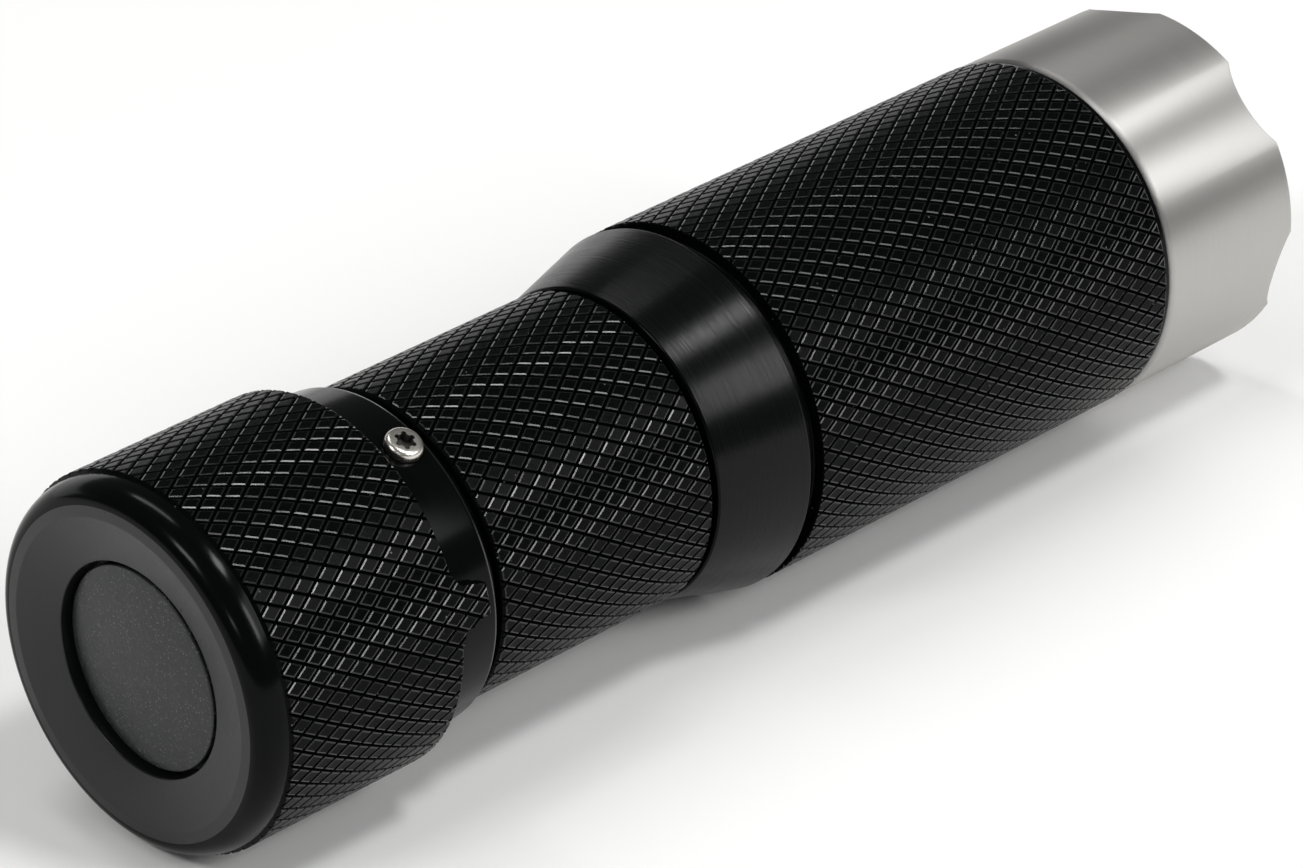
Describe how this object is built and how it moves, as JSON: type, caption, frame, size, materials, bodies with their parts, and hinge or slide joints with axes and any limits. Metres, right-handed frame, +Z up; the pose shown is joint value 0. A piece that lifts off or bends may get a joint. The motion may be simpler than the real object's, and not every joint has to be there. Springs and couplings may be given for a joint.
{
  "type": "flashlight",
  "caption": "Pocket flashlight with knurled black body, turning tail control with a pointer tongue and stop screw, flush push button and scalloped steel bezel.",
  "frame": {"origin": "on the resting surface, under the middle of the body's length", "axes": "+X along the beam from the tail to the bezel, +Z up, +Y to the left seen from behind the tail"},
  "size_m": [0.0938, 0.025, 0.0249],
  "materials": {
    "black_anodised": "black hard-anodised, satin, knurled grips",
    "bezel_steel": "fine turned satin stainless steel",
    "lens_glass": "clear coated flat glass",
    "seal_rubber": "greased black rubber",
    "reflector_bright": "bright metallised",
    "white_plastic": "moulded",
    "led_ceramic": "white ceramic and solder mask",
    "led_phosphor": "silicone over phosphor",
    "screw_steel": "bright stainless",
    "heat_sink_aluminium": "turned",
    "red_plastic": "moulded or insulated red",
    "black_plastic": "moulded black",
    "circuit_board": "green solder mask",
    "contact_brass": "turned",
    "ferrite": "pressed ferrite",
    "cell_metal": "plated can",
    "cell_sleeve": "shrink sleeve, plain",
    "button_rubber": "matt charcoal rubber"
  },
  "bodies": {
    "battery_tube": {"battery_tube": "black_anodised", "stop_screw": "screw_steel", "head_seal": "seal_rubber", "cap_seal": "seal_rubber", "cap_snap_ring": "screw_steel", "tail_board": "circuit_board", "tail_board_retainer": "contact_brass", "switch_housing": "black_plastic", "dial_sensor": "black_plastic", "tail_spring": "screw_steel"},
    "tail_cap": {"tail_cap": "black_anodised", "button_retainer": "black_plastic", "dial_magnet": "screw_steel"},
    "button": {"button": "button_rubber"},
    "switch_plunger": {"switch_plunger": "red_plastic"},
    "cell": {"cell_can": "cell_metal", "cell_wrap": "cell_sleeve", "cell_gasket": "black_plastic", "cell_nub": "cell_metal"},
    "head": {"head_shell": "black_anodised", "strike_bezel": "bezel_steel", "lens": "lens_glass", "lens_seal": "seal_rubber", "bezel_seal": "seal_rubber", "reflector": "reflector_bright", "led_centring_ring": "white_plastic", "led_package": "led_ceramic", "led_dome": "led_phosphor", "led_board": "led_ceramic", "led_board_screw_1": "screw_steel", "led_board_screw_2": "screw_steel", "heat_sink": "heat_sink_aluminium", "led_wire_1": "red_plastic", "led_wire_2": "black_plastic", "driver_board": "circuit_board", "driver_ring": "contact_brass", "driver_inductor": "ferrite", "driver_chip": "black_plastic", "driver_capacitor": "led_ceramic", "head_contact": "contact_brass", "contact_insulator": "white_plastic"}
  },
  "joints": [
    {"name": "tail_dial", "type": "hinge", "parent": "battery_tube", "child": "tail_cap", "pos_m": [-0.0393, 0, 0.01245], "axis": [1, 0, 0], "range_deg": [-40, 296]},
    {"name": "button_press", "type": "slide", "parent": "tail_cap", "child": "button", "axis": [1, 0, 0], "range_m": [0, 0.0008], "stiffness_N_per_m": 2500},
    {"name": "switch_travel", "type": "slide", "parent": "battery_tube", "child": "switch_plunger", "axis": [1, 0, 0], "range_m": [0, 0.0008]},
    {"name": "cell_follow", "type": "slide", "parent": "battery_tube", "child": "cell", "axis": [1, 0, 0], "range_m": [0, 0.006], "deforming": ["tail_spring"]},
    {"name": "head_unscrew", "type": "hinge", "parent": "cell", "child": "head", "pos_m": [0, 0, 0.01245], "axis": [1, 0, 0], "range_deg": [0, 2160]}
  ],
  "couplings": [
    {"joint": "switch_travel", "follows": "button_press", "ratio": 1},
    {"joint": "cell_follow", "follows": "head_unscrew", "m_per_rad": 0.00015915}
  ]
}
